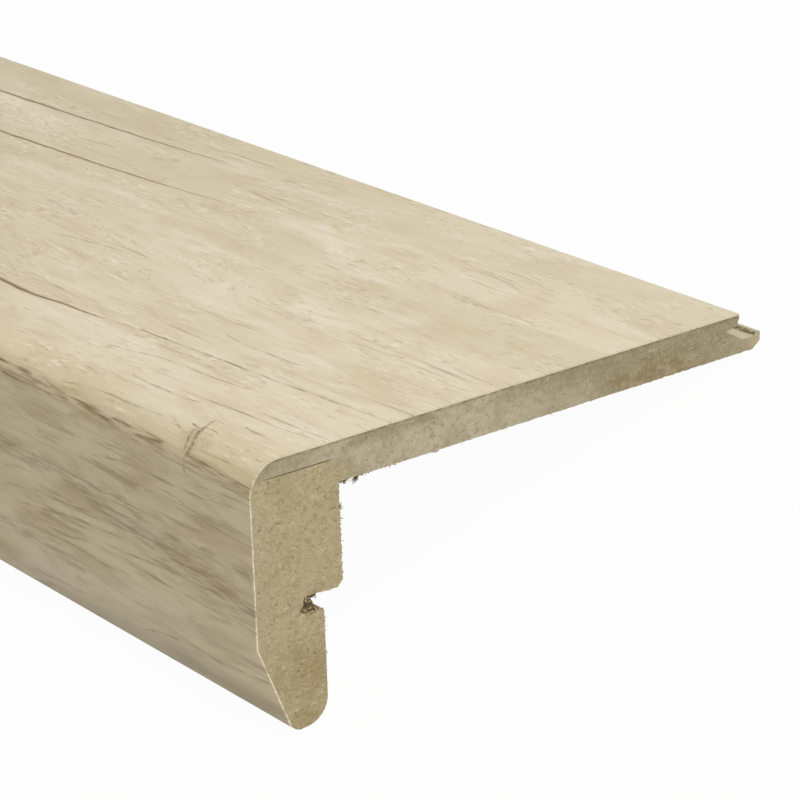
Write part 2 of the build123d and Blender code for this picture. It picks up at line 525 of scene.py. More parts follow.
# Torn fibres: strands and crumbs that the saw left standing at the cut end. Real strands are about
# 0.05 mm thick and wouldn't show, so they are drawn four times as thick
tornFibres = {
    "thickness": 0.2,
    "tipShare": 1 / 7,            # radius of the tip, as a share of the thickness
    "unevenShare": 1 / 9,         # how far a strand's points stray, as a share of it
    "sides": 5,
    "cuts": 5,
    "curls": (20, 60, 110),       # degrees by which the three kinds of strand are bent
    "seed": 23,
    "rootDepth": (0.03, 0.9),     # how far in from the cut end a strand has its root
    "lean": (-0.35, 0.2),         # how it leans along the stock, against 1 across it
    "thinThick": (0.6, 1.25),     # thinnest and thickest, as shares of the thickness
    "fullTurn": 6.28,
    "crumbDepth": (0.05, 0.5),
    "crumbSquash": (0.75, 1.0),
    "crumbLumps": 0.45,
    "crumbRough": 0.7,
    "smoothAngle": 60,
    # bunches: the place of the middle (back, up), half spread each way, how many, the way they
    # point in degrees from straight back towards up, the fan to either side, shortest and longest
    "board": (
        (20.1, -7.95, 0.9, 0.08, 26, -70, 45, 0.4, 0.85),
        (20.9, -8.0, 0.25, 0.05, 12, -115, 18, 0.7, 1.2),
        (23.3, -8.0, 0.22, 0.08, 16, -124, 9, 1.2, 1.9),
        (23.5, -7.95, 2.6, 0.08, 34, -22, 35, 0.35, 0.7),
        (28.5, -8.0, 2.6, 0.05, 34, -10, 25, 0.3, 0.6),
        (40.9, -8.0, 0.5, 0.05, 10, -100, 45, 0.5, 1.0),
        (62.0, -8.0, 30.0, 0.05, 34, -12, 30, 0.25, 0.5),
        (98.0, -8.0, 18.0, 0.05, 18, -12, 30, 0.25, 0.45),
        (16.5, -0.2, 0.5, 0.02, 5, 60, 60, 0.3, 0.5),
        (31.0, -0.2, 1.0, 0.02, 5, 20, 60, 0.3, 0.5),
    ),
    "block": (
        (19.0, -12.9, 0.03, 0.7, 16, -5, 60, 0.5, 1.0),
        (19.0, -16.5, 0.03, 2.6, 20, 0, 65, 0.25, 0.5),
        (19.0, -21.5, 0.03, 2.4, 20, 0, 65, 0.25, 0.5),
        (19.0, -25.6, 0.03, 0.9, 14, -25, 60, 0.4, 0.8),
        (16.6, -27.6, 1.7, 0.03, 16, -75, 50, 0.25, 0.6),
        (10.5, -28.5, 0.3, 0.5, 20, -20, 50, 0.8, 1.7),
        (10.5, -30.2, 0.3, 0.5, 20, 20, 45, 0.8, 1.8),
        (12.8, -27.7, 0.5, 0.05, 14, -80, 40, 0.4, 0.9),
        (11.8, -30.8, 1.0, 0.05, 14, 50, 60, 0.4, 1.0),
        (14.0, -30.8, 0.5, 0.05, 8, 45, 55, 0.25, 0.6),
        (14.75, -36.5, 0.02, 4.5, 26, 0, 60, 0.2, 0.42),
        (14.7, -43.8, 0.02, 3.5, 20, 0, 60, 0.2, 0.42),
    ),
    # crumbs: back, up, size
    "boardCrumbs": (
        (19.5, -8.1, 0.6), (20.4, -8.2, 0.55), (20.9, -8.35, 0.6), (22.0, -8.05, 0.4),
        (23.4, -8.15, 0.5), (24.3, -8.1, 0.55), (24.8, -8.1, 0.5), (27.2, -8.0, 0.4),
        (28.3, -8.02, 0.4), (40.8, -8.1, 0.5),
    ),
    "blockCrumbs": (
        (19.15, -12.9, 0.9), (19.05, -13.6, 0.6), (19.0, -25.5, 0.7), (19.0, -26.1, 0.5),
        (10.7, -28.4, 1.3), (10.8, -29.5, 1.4), (10.9, -30.3, 1.1), (11.8, -28.9, 1.0),
        (12.0, -30.4, 0.9), (12.7, -27.9, 0.8), (11.9, -28.0, 1.0), (12.6, -30.5, 0.6),
        (12.3, -29.0, 0.9), (13.0, -30.3, 0.6),
    ),
}


def makeStrand(curl):
    # a fibre one millimetre long, tapering and bent, with its root at the origin
    s = tornFibres
    bpy.ops.object.select_all(action="DESELECT")
    bpy.ops.mesh.primitive_cone_add(
        vertices=s["sides"], depth=mm, location=(mm / 2, 0, 0), rotation=(0, math.pi / 2, 0),
        radius1=s["thickness"] / 2 * mm, radius2=s["thickness"] * s["tipShare"] * mm,
    )
    strand = bpy.context.object
    bpy.ops.object.transform_apply(location=True, rotation=True, scale=True)
    startEdit(strand, "EDGE")
    pick(strand, "edges", lambda edge: abs(edge.verts[0].co.x - edge.verts[1].co.x) > mm / 2)
    bpy.ops.mesh.subdivide(number_cuts=s["cuts"])
    bpy.ops.mesh.select_all(action="SELECT")
    bpy.ops.transform.vertex_random(offset=s["thickness"] * s["unevenShare"] * mm, seed=curl)
    endEdit()
    bend = strand.modifiers.new("bend", "SIMPLE_DEFORM")
    bend.deform_method = "BEND"
    bend.deform_axis = "Z"
    bend.angle = math.radians(curl)
    bpy.ops.object.modifier_apply(modifier=bend.name)
    return strand


def makeCrumb():
    # a knobbly lump one millimetre across
    bpy.ops.object.select_all(action="DESELECT")
    bpy.ops.mesh.primitive_ico_sphere_add(subdivisions=3, radius=mm / 2)
    crumb = bpy.context.object
    crumb.name = "crumb"
    weightGroup(crumb, "all", lambda co: 1.0)
    displace(crumb, "all", "NORMAL", tornFibres["crumbRough"], tornFibres["crumbLumps"])
    return crumb


def placeCopy(source, place, turn, scale):
    # a copy with a mesh of its own
    bpy.ops.object.select_all(action="DESELECT")
    bpy.context.view_layer.objects.active = source
    source.select_set(True)
    bpy.ops.object.duplicate(linked=False)
    copy = bpy.context.object
    copy.location = place
    copy.rotation_euler = turn
    copy.scale = scale
    return copy


def makeTornFibres(name, bunches, crumbs):
    s = tornFibres
    chance = random.Random(s["seed"])
    strands = [makeStrand(curl) for curl in s["curls"]]
    copies = []
    for back, up, acrossBack, acrossUp, count, way, fan, shortest, longest in bunches:
        for _ in range(count):
            place = (
                halfLength - chance.uniform(*s["rootDepth"]) * mm,
                (back + chance.uniform(-acrossBack, acrossBack)) * mm,
                (up + chance.uniform(-acrossUp, acrossUp)) * mm,
            )
            point = math.radians(way + chance.uniform(-fan, fan))
            aim = Vector((chance.uniform(*s["lean"]), math.cos(point), math.sin(point)))
            roll = Matrix.Rotation(chance.uniform(0, s["fullTurn"]), 3, "X")
            turn = aim.to_track_quat("X", "Z").to_matrix() @ roll
            length = chance.uniform(shortest, longest)
            thick = chance.uniform(*s["thinThick"])
            copies.append(placeCopy(chance.choice(strands), place, turn.to_euler(), (length, thick, thick)))
    crumb = makeCrumb()
    for back, up, size in crumbs:
        place = (halfLength - (size / 2 + chance.uniform(*s["crumbDepth"])) * mm, back * mm, up * mm)
        turn = [chance.uniform(0, s["fullTurn"]) for _ in range(3)]
        scale = [size * chance.uniform(*s["crumbSquash"]) for _ in range(3)]
        copies.append(placeCopy(crumb, place, turn, scale))
    bpy.ops.object.select_all(action="DESELECT")
    for source in (*strands, crumb):
        source.select_set(True)
    bpy.ops.object.delete()
    for copy in copies:
        copy.select_set(True)
    bpy.context.view_layer.objects.active = copies[0]
    bpy.ops.object.join()
    piece = bpy.context.object
    piece.name = piece.data.name = name
    bpy.ops.object.transform_apply(location=True, rotation=True, scale=True)
    return piece


# Looks. A layer is a noise laid over the colours below it: its size in millimetres along each
# of the piece's own directions, the noise values where it starts and where it is full, its
# colour, how much of it shows, how far it is turned about the length, and the zone it keeps to.
# A layer of curls shows where the noise passes its middle, as thin bent lines. Sockets 6 and 7
# of a colour mix are its two colours
layerDefaults = {"turn": 0, "detail": 2.0, "twist": 0.0, "curls": False, "zone": None}
layerShift = (7.3, 3.1, 5.7)       # from one layer's noise to the next one's
layerRoughness = 0.55
islandDetail = 3.0
noiseEnds = 4                      # a noise mostly keeps to the middle quarter of its range


def within(tree, mask, zone):
    # the mask, as far as the zone shows it
    return addNode(tree, "ShaderNodeMath", {"operation": "MULTIPLY"}, {0: mask, 1: zone}).outputs[0]


def offMiddle(tree, noise):
    # how far a noise is from its middle value, to either side
    off = addNode(tree, "ShaderNodeMath", {"operation": "SUBTRACT", 1: 0.5}, {0: noise})
    return addNode(tree, "ShaderNodeMath", {"operation": "ABSOLUTE"}, {0: off.outputs[0]}).outputs[0]


def layColours(tree, place, base, layers, zones=None):
    # the base colour with each layer mixed over it; returns the colour and the layers' masks
    colour = None
    masks = {}
    for number, given in enumerate(layers):
        layer = {**layerDefaults, **given}
        spread = addNode(tree, "ShaderNodeMapping", {
            "vector_type": "TEXTURE", "Location": [shift * number for shift in layerShift],
            "Rotation": (math.radians(layer["turn"]), 0, 0), "Scale": layer["size"],
        }, {"Vector": place})
        noise = addNode(tree, "ShaderNodeTexNoise", {
            "Scale": 1.0, "Detail": layer["detail"],
            "Roughness": layerRoughness, "Distortion": layer["twist"],
        }, {"Vector": spread.outputs[0]}).outputs[0]
        start, full = layer["range"]
        shown = addNode(tree, "ShaderNodeMapRange", {
            "interpolation_type": "SMOOTHSTEP",
            "From Min": start, "From Max": full, "To Max": layer["share"],
        }, {"Value": offMiddle(tree, noise) if layer["curls"] else noise}).outputs[0]
        if layer["zone"]:
            shown = within(tree, shown, zones[layer["zone"]])
        mix = addNode(tree, "ShaderNodeMix", {
            "data_type": "RGBA", 6: linearColour(base), 7: linearColour(layer["colour"]),
        }, {0: shown})
        if colour:
            tree.links.new(colour, mix.inputs[6])
        colour = mix.outputs[2]
        masks[layer["name"]] = shown
    return colour, masks


def finishSurface(tree, s, height, links):
    # the shader that every finish ends in: its bump follows the height, its other links are given
    bump = addNode(tree, "ShaderNodeBump", {"Strength": s["bump"], "Distance": s["relief"] * mm}, {
        "Height": height,
    })
    shader = addNode(tree, "ShaderNodeBsdfPrincipled", {"Roughness": s["roughness"], "IOR": s["ior"]}, {
        "Normal": bump.outputs[0], **links,
    })
    addNode(tree, "ShaderNodeOutputMaterial", None, {"Surface": shader.outputs[0]})


def rampZone(tree, value, start, full):
    # 0 at start and 1 from full on, whichever of the two is greater
    low, high = sorted((start, full))
    return addNode(tree, "ShaderNodeMapRange", {
        "interpolation_type": "SMOOTHSTEP", "From Min": low, "From Max": high,
        "To Min": 0.0 if start < full else 1.0, "To Max": 1.0 if start < full else 0.0,
    }, {"Value": value}).outputs[0]


def bandZone(tree, value, start, stop, soft):
    # 1 between start and stop, fading over soft on either side
    rise = rampZone(tree, value, start - soft, start)
    return within(tree, rise, rampZone(tree, value, stop + soft, stop))


def stretchedNoise(tree, place, size, detail, shift=(0, 0, 0)):
    # a noise as large as this in millimetres each way; a shift keeps two noises apart
    spread = addNode(tree, "ShaderNodeMapping", {
        "Location": shift, "Scale": [1 / length for length in size],
    }, {"Vector": place})
    noise = addNode(tree, "ShaderNodeTexNoise", {"Scale": 1.0, "Detail": detail}, {
        "Vector": spread.outputs[0],
    })
    return noise.outputs[0]


def noiseShift(tree, place, size, reach, detail):
    # a slow noise turned into a shift of up to about reach to either side
    return addNode(tree, "ShaderNodeMapRange", {
        "clamp": False, "To Min": -noiseEnds * reach, "To Max": noiseEnds * reach,
    }, {"Value": stretchedNoise(tree, place, size, detail)}).outputs[0]


def noiseZone(tree, place, size, start, full, seed):
    # irregular islands, to break a pattern up
    islands = stretchedNoise(tree, place, size, islandDetail, (seed, 2 * seed, 0))
    return rampZone(tree, islands, start, full)


# Decor foil: paper printed with whitewashed oak, lacquered and lightly embossed. The eye sees a
# pale chalky beige with soft clouds, short broken streaks, a few long dark cracks, and no shine.
# Printed pores are some 0.2 mm wide and would hardly show, so the finest ticks are 0.36 mm wide
decorPrint = {
    "coordinates": decorFoil["grain"],
    "base": "#dccfb5",
    "layers": (
        {"name": "tone", "size": (90, 17, 1), "range": (0.4, 0.66), "colour": "#d3c6a7", "share": 0.8,
         "twist": 0.6},
        {"name": "clouds", "size": (26, 9, 1), "range": (0.46, 0.7), "colour": "#cbbc9b", "share": 0.66,
         "detail": 4, "twist": 0.4},
        {"name": "milk", "size": (30, 10, 1), "range": (0.5, 0.72), "colour": "#e8deca", "share": 0.54,
         "detail": 4, "twist": 0.4},
        {"name": "bands", "size": (34, 4.2, 1), "range": (0.52, 0.76), "colour": "#c2b292",
         "share": 0.45, "detail": 4, "twist": 0.5},
        {"name": "dull", "size": (42, 12, 1), "range": (0.3, 0.6), "colour": "#c6b899", "share": 0.5,
         "zone": "far"},
        # painted shade: a darker, yellower tone is painted over the round, where it turns from the tread
        # down to the face
        {"name": "round", "size": (60, 5, 1), "range": (0.25, 0.55), "colour": "#cfbf97", "share": 0.45,
         "zone": "round"},
        {"name": "rear", "size": (50, 5, 1), "range": (0.2, 0.5), "colour": "#c8bb9d", "share": 0.2,
         "zone": "rear"},
        {"name": "streaks", "size": (13, 1.5, 1), "range": (0.52, 0.76), "colour": "#bba884",
         "share": 0.5, "detail": 4, "twist": 0.4, "zone": "broken"},
        {"name": "fine", "size": (5, 0.5, 1), "range": (0.52, 0.78), "colour": "#b09c76", "share": 0.4,
         "detail": 3, "zone": "broken"},
        {"name": "chalk", "size": (12, 1.3, 1), "range": (0.54, 0.78), "colour": "#efe6d1",
         "share": 0.6, "detail": 4, "twist": 0.4, "zone": "broken"},
        {"name": "darkFlakes", "size": (3.6, 1.1, 1), "range": (0.54, 0.68), "colour": "#ad9a74",
         "share": 0.5, "detail": 3, "zone": "flaked"},
        {"name": "paleFlakes", "size": (3.4, 0.9, 1), "range": (0.56, 0.68), "colour": "#efe5cf",
         "share": 0.52, "detail": 3, "zone": "flaked"},
        {"name": "ticks", "size": (5, 0.36, 1), "range": (0.66, 0.76), "colour": "#98845c", "share": 0.6},
        # painted light: the face is painted warmer and lighter than the same print on the tread
        {"name": "warmth", "size": (60, 9, 1), "range": (0.1, 0.4), "colour": "#e3d1a6", "share": 0.6,
         "zone": "face"},
        {"name": "patches", "size": (22, 5, 1), "range": (0.46, 0.68), "colour": "#ab9462",
         "share": 0.42, "detail": 4, "twist": 0.5, "zone": "face"},
        {"name": "dusk", "size": (17, 2.2, 1), "range": (0.54, 0.7), "colour": "#978152", "share": 0.42,
         "detail": 5, "twist": 0.4, "zone": "face"},
        {"name": "faceStreaks", "size": (24, 0.62, 1), "range": (0.57, 0.76), "colour": "#8f784a",
         "share": 0.26, "detail": 4, "zone": "face"},
        {"name": "foot", "size": (30, 3, 1), "range": (0.2, 0.6), "colour": "#9a9078", "share": 0.4,
         "zone": "foot"},
        {"name": "chips", "size": (0.5, 1.1, 1), "range": (0.42, 0.6), "colour": "#efe6cf",
         "share": 0.7, "zone": "edge"},
    ),
    # where a zone begins and is full: along the sheet from mid-length, or across it from its rear
    # edge, where the round is a band with a fade to either side
    "far": (590, 440),
    "rear": (24, 8),
    "round": (109.5, 115.5, 5),
    "face": (110.5, 118.5),
    "foot": (157, 163),
    "chipped": 0.3,               # width of the lacquer that the saw chipped off along its cut
    # islands: size, the noise values where they begin and are full, and a seed
    "broken": ((24, 6, 1), 0.36, 0.6, 3.7),
    "flaked": ((26, 11, 1), 0.45, 0.6, 8.1),
    "dashes": ((7, 0.8, 1), 0.4, 0.62, 1.9),
    "dashInk": 0.2,
    "grit": ((1.2, 0.9, 1), 0.38, 0.58, 4.4),
    "gritInk": 0.5,
    "wander": 2.2,                # how far the grain strays to either side
    "wanderSize": (210, 45, 1),
    "wanderDetail": 2.0,
    "crackWander": 0.14,
    "crackWanderSize": (8, 3, 1),
    "crackWanderDetail": 5.0,
    "crackColour": "#73582e",
    "relief": 0.08,
    "bump": 0.4,
    "roughness": 0.5,
    "cloudRoughness": 0.66,
    "ior": 1.5,
    # open cracks: from, to, the places across the sheet that they pass, half width, darkness; the
    # last four lie in the length beyond the photo
    "cracks": (
        (201, 498, (26.4, 24.9, 23.2, 21.6, 19.8, 18.4, 17.6, 16.6, 15.2, 13.0), 0.78, 0.95),
        (235, 520, (43.0, 41.6, 40.6, 39.4, 38.5, 37.4, 36.6, 35.6, 33.8, 30.8), 0.74, 0.92),
        (450.5, 569, (102.4, 100.9, 99.3, 97.8, 96.2, 94.9, 93.3, 93.6, 92.4, 91.3), 0.95, 1.0),
        (-600, -380, (30.2, 31.4, 33.0, 33.6, 34.9, 37.0), 0.7, 0.9),
        (-430, -190, (70.5, 69.8, 68.0, 67.2, 66.9, 64.8), 0.66, 0.9),
        (-160, 60, (24.8, 26.2, 27.3, 29.4, 30.0, 31.8), 0.7, 0.9),
        (60, 230, (84.6, 83.4, 83.1, 81.2, 79.9), 0.74, 0.95),
    ),
    # a small knot on the round, drawn with the same kind of lines: a stem across the sheet, whose
    # places are measured along it, and short cracks along the sheet
    "knot": (
        (110.4, 116.4, (629.4, 629.7, 630.3, 630.6, 630.6), 2.0, 0.46, "across"),
        (109.2, 116.2, (629.5, 629.8, 630.2, 630.7, 630.7), 1.0, 0.88, "across"),
        (110.6, 115.4, (628.2, 628.5, 629.0, 629.3), 0.8, 0.8, "across"),
        (106.2, 110.0, (628.4, 629.0, 629.6), 0.45, 0.7, "across"),
        (115.6, 119.4, (630.4, 630.0, 630.6), 0.55, 0.55, "across"),
        (629.6, 633.8, (110.0, 109.4, 109.7), 0.34, 0.65, "along"),
        (630.2, 634.6, (110.9, 110.7, 111.2), 0.32, 0.5, "along"),
        (626.0, 630.4, (110.0, 110.4, 110.7), 0.42, 0.85, "along"),
        (621.0, 629.0, (110.6, 111.7, 112.3, 112.3), 0.3, 0.4, "along"),
        (634.2, 640.4, (104.1, 104.8, 104.4), 0.5, 0.5, "along"),
        (625.6, 635.4, (112.0, 112.8, 112.6), 2.6, 0.24, "along"),
    ),
    # printed streaks: lines like the cracks, broken into dashes; one broad band along the lower round is
    # partly painted shade
    "streaks": (
        (488, 508, (13.6, 13.1, 12.3, 11.1), 0.36, 0.5),
        (460, 471, (25.4, 24.3), 0.9, 0.45),
        (483, 491, (22.7, 20.6), 0.9, 0.45),
        (515, 523, (13.3, 10.4), 1.0, 0.4),
        (494, 509, (57.2, 58.4), 1.8, 0.3),
        (514, 543, (69.2, 66.6, 63.7), 0.42, 0.6),
        (562, 655, (92.2, 90.2, 88.8, 88.0, 87.2, 86.0, 84.8, 84.0), 0.5, 0.85),
        (533, 556, (86.8, 88.1), 0.42, 0.5),
        (511, 543, (20.7, 22.2, 23.5), 0.42, 0.5),
        (526, 535, (21.0, 19.2), 0.5, 0.45),
        (592, 618, (78.9, 79.7, 77.4), 0.42, 0.75),
        (575, 623, (100.2, 97.6, 94.8, 94.4, 92.4), 0.38, 0.65),
        (598, 619, (103.8, 104.7, 104.4, 103.2), 0.5, 0.85),
        (612, 648, (102.3, 101.5, 100.6, 100.2, 98.9), 0.4, 0.75),
        (628, 650, (98.5, 98.1, 97.3), 0.4, 0.55),
        (595, 613, (19.1, 20.4, 22.0), 0.42, 0.45),
        (588, 619, (114.0, 112.4, 111.9, 111.5), 0.4, 0.6),
        (505, 655, (117.8, 116.2, 116.1, 115.0, 115.2, 115.8, 115.6, 116.3, 116.5), 0.6, 0.9),
        # a broad soft band: partly the print's dark band, partly painted shade where the round turns down
        # to the face
        (510, 655, (118.6, 117.0, 116.8, 116.0, 116.4, 116.9, 117.2), 2.2, 0.6),
        (520, 655, (119.4, 118.0, 117.6, 116.8, 117.4, 118.0, 118.4), 0.51, 0.58),
        (555, 640, (119.0, 117.1, 117.0, 116.2, 116.6, 115.9, 116.3), 0.45, 0.95),
        (600, 618, (121.8, 120.8, 121.2), 0.34, 0.5),
        (600, 655, (125.2, 123.2, 122.8, 122.6, 121.3, 120.9), 0.38, 0.54),
        (630, 655, (121.6, 119.8, 119.7), 0.34, 0.43),
        (628, 655, (125.3, 125.9, 125.5), 0.77, 0.43),
        (560, 630, (132.0, 132.9, 132.2, 130.8, 132.8, 133.4), 2.21, 0.43),
        (578, 601, (138.4, 137.8, 136.5), 0.38, 0.5),
        (596, 612, (134.5, 133.7), 0.47, 0.58),
        (572, 610, (143.0, 140.2, 138.7), 0.51, 0.58),
        (574, 610, (144.1, 144.6, 143.2, 143.1), 0.36, 0.5),
        (603, 641, (141.8, 140.8, 139.9, 139.5), 0.47, 0.65),
        (634, 655, (138.6, 137.5), 0.41, 0.5),
        (604, 655, (144.3, 143.2, 143.4, 143.2, 145.2), 0.41, 0.54),
        (598, 611, (146.4, 145.7), 0.51, 0.5),
        (605, 655, (161.0, 156.8, 156.2, 153.2), 0.85, 0.54),
        (634, 649, (132.3, 132.9), 1.61, 0.5),
        (634, 644, (139.0, 140.8), 1.78, 0.5),
        (566, 590, (151.1, 152.0), 1.78, 0.4),
        (560, 608, (130.6, 131.6, 132.6, 133.6), 3.4, 0.48),
        (600, 660, (134.6, 136.2, 137.8, 139.0, 139.8), 5.0, 0.52),
        (600, 640, (126.0, 126.8, 127.8), 1.6, 0.28),
        (560, 592, (149.0, 150.6, 152.0), 4.0, 0.42),
        (604, 660, (152.4, 151.8, 151.0), 2.2, 0.3),
    ),
    # contour lines of a stretched noise: fine cracks all along the sheet, and more of them down
    # its face
    "hairlines": (
        {"size": (300, 5, 1), "width": 0.007, "gaps": ((40, 6, 1), 0.5, 0.62, 5.3), "dark": 0.45},
        {"size": (170, 3.4, 1), "width": 0.013, "gaps": ((34, 5, 1), 0.46, 0.6, 5.3), "dark": 0.36,
         "zone": "face"},
    ),
    "hairShift": 9.1,
    "hairDetail": 3.0,
}


def lineMask(tree, along, across, line):
    # dark where a point is near a line that passes given places, thinner towards its two ends
    start, stop, places, half, dark = line
    low = min(places)
    high = max(places)
    share = addNode(tree, "ShaderNodeMapRange", {"From Min": start, "From Max": stop}, {"Value": along})
    bend = addNode(tree, "ShaderNodeFloatCurve", None, {"Value": share.outputs[0]})
    curve = bend.mapping.curves[0]
    for number, place in enumerate(places):
        spot = (number / (len(places) - 1), (place - low) / (high - low))
        if number in (0, len(places) - 1):
            curve.points[0 if number == 0 else -1].location = spot
        else:
            curve.points.new(*spot)
    bend.mapping.update()
    middle = addNode(tree, "ShaderNodeMath", {"operation": "MULTIPLY_ADD", 1: high - low, 2: low}, {
        0: bend.outputs[0],
    })
    off = addNode(tree, "ShaderNodeMath", {"operation": "SUBTRACT"}, {0: across, 1: middle.outputs[0]})
    away = addNode(tree, "ShaderNodeMath", {"operation": "ABSOLUTE"}, {0: off.outputs[0]})
    # halfway along the line, the root of this taper is a half
    left = addNode(tree, "ShaderNodeMath", {"operation": "SUBTRACT", 0: 1.0}, {1: share.outputs[0]})
    taper = within(tree, share.outputs[0], left.outputs[0])
    root = addNode(tree, "ShaderNodeMath", {"operation": "SQRT"}, {0: taper})
    width = addNode(tree, "ShaderNodeMath", {"operation": "MULTIPLY", 1: 2.0 * half}, {0: root.outputs[0]})
    near = addNode(tree, "ShaderNodeMapRange", {"To Min": dark, "To Max": 0.0}, {
        "Value": away.outputs[0], "From Max": width.outputs[0],
    })
    return near.outputs[0]


def darkest(tree, masks):
    # the darkest of these masks at each point
    dark, *others = masks
    for mask in others:
        dark = addNode(tree, "ShaderNodeMath", {"operation": "MAXIMUM"}, {0: dark, 1: mask}).outputs[0]
    return dark


def brokenUp(tree, mask, place, islands, leastInk):
    # a line keeps its ink on islands of a noise, and loses most of it between them
    zone = noiseZone(tree, place, *islands)
    ink = addNode(tree, "ShaderNodeMapRange", {"To Min": leastInk}, {"Value": zone})
    return within(tree, mask, ink.outputs[0])


def makeDecorPrint():
    s = decorPrint
    material, tree = newMaterial("printedOakDecorFoil")
    grain = addNode(tree, "ShaderNodeUVMap", {"uv_map": s["coordinates"]})
    real = addNode(tree, "ShaderNodeMapping", {"Scale": (1 / mm, 1 / mm, 1)}, {"Vector": grain.outputs[0]})
    sheet = real.outputs[0]
    parts = addNode(tree, "ShaderNodeSeparateXYZ", None, {0: sheet})
    along = parts.outputs[0]
    across = parts.outputs[1]

    # the grain strays slowly to either side, more than the cracks do
    shift = noiseShift(tree, sheet, s["wanderSize"], s["wander"], s["wanderDetail"])
    strayed = addNode(tree, "ShaderNodeMath", {"operation": "ADD"}, {0: across, 1: shift})
    place = addNode(tree, "ShaderNodeCombineXYZ", None, {0: along, 1: strayed.outputs[0]}).outputs[0]
    fromMiddle = addNode(tree, "ShaderNodeMath", {"operation": "ABSOLUTE"}, {0: along})
    chipStart = halfLength / mm - s["chipped"]
    sawnEnd = rampZone(tree, fromMiddle.outputs[0], chipStart, chipStart + s["chipped"] / 2)
    face = rampZone(tree, across, *s["face"])
    zones = {
        "face": face,
        "far": rampZone(tree, along, *s["far"]),
        "round": bandZone(tree, across, *s["round"]),
        "rear": rampZone(tree, across, *s["rear"]),
        "foot": rampZone(tree, across, *s["foot"]),
        "edge": within(tree, sawnEnd, face),
        "broken": noiseZone(tree, place, *s["broken"]),
        "flaked": noiseZone(tree, place, *s["flaked"]),
    }
    colour, masks = layColours(tree, place, s["base"], s["layers"], zones)

    # hairlines: where a stretched noise passes its middle, in places
    dark = []
    for number, hair in enumerate(s["hairlines"]):
        apart = (0, s["hairShift"] * number, 0)
        contour = stretchedNoise(tree, place, hair["size"], s["hairDetail"], apart)
        thin = addNode(tree, "ShaderNodeMapRange", {
            "From Max": hair["width"], "To Min": hair["dark"], "To Max": 0.0,
        }, {"Value": offMiddle(tree, contour)})
        line = within(tree, thin.outputs[0], noiseZone(tree, place, *hair["gaps"]))
        dark.append(within(tree, line, zones[hair["zone"]]) if "zone" in hair else line)

    # cracks wobble in short steps, and the printed streaks are broken into dashes
    wobble = noiseShift(tree, sheet, s["crackWanderSize"], s["crackWander"], s["crackWanderDetail"])
    bent = addNode(tree, "ShaderNodeMath", {"operation": "ADD"}, {0: across, 1: wobble}).outputs[0]
    bentAlong = addNode(tree, "ShaderNodeMath", {"operation": "ADD"}, {0: wobble, 1: along}).outputs[0]
    streak = darkest(tree, [lineMask(tree, along, bent, line) for line in s["streaks"]])
    dark.append(brokenUp(tree, streak, sheet, s["dashes"], s["dashInk"]))
    dark += [lineMask(tree, along, bent, line) for line in s["cracks"]]
    directions = {"across": (across, bentAlong), "along": (along, bent)}
    knot = darkest(tree, [lineMask(tree, *directions[way], line) for *line, way in s["knot"]])
    dark.append(brokenUp(tree, knot, sheet, s["grit"], s["gritInk"]))
    printed = addNode(tree, "ShaderNodeMix", {"data_type": "RGBA", 7: linearColour(s["crackColour"])}, {
        0: darkest(tree, dark), 6: colour,
    })

    # the emboss follows the short streaks and flakes
    sunk = addNode(tree, "ShaderNodeMath", {"operation": "ADD"}, {0: masks["fine"], 1: masks["darkFlakes"]})
    height = addNode(tree, "ShaderNodeMath", {"operation": "SUBTRACT"}, {
        0: masks["paleFlakes"], 1: sunk.outputs[0],
    })
    roughness = addNode(tree, "ShaderNodeMapRange", {
        "To Min": s["roughness"], "To Max": s["cloudRoughness"],
    }, {"Value": masks["clouds"]})
    finishSurface(tree, s, height.outputs[0], {
        "Base Color": printed.outputs[2], "Roughness": roughness.outputs[0],
    })
    return material


# Fibreboards: wood fibre pressed with resin. Sawn across, the eye sees a dry felt of pale fibres,
# small dark pores and soft clouds; milled along, it is smoother, with faint lines. Single fibres are
# some 0.03 mm thick and wouldn't show, so they are drawn as bundles from 0.35 mm across
fibreboard = {
    "bump": 0.6,
    "ior": 1.45,
    "poreDepth": 1.5,             # of the pores, against 1 for the mottle
    "patchFade": (1.0, 0.45),     # an oval patch begins at its edge and is full at this share of it
}


def milledLayers(cloudSize, clouds, mottle, fibres, lines, pores):
    # what a cutter leaves along the stock of either board, with that board's colours
    return (
        {"name": "clouds", "size": cloudSize, "range": (0.4, 0.7), "colour": clouds, "share": 0.5},
        {"name": "mottle", "size": (1.6, 1.1, 1.1), "range": (0.5, 0.75), "colour": mottle, "share": 0.4},
        {"name": "fibres", "size": (2.2, 0.35, 0.35), "range": (0.58, 0.74), "colour": fibres,
         "share": 0.5},
        {"name": "lines", "size": (90, 0.5, 0.5), "range": (0.5, 0.72), "colour": lines, "share": 0.35},
        {"name": "pores", "size": (0.8, 0.5, 0.5), "range": (0.68, 0.76), "colour": pores, "share": 0.5},
    )


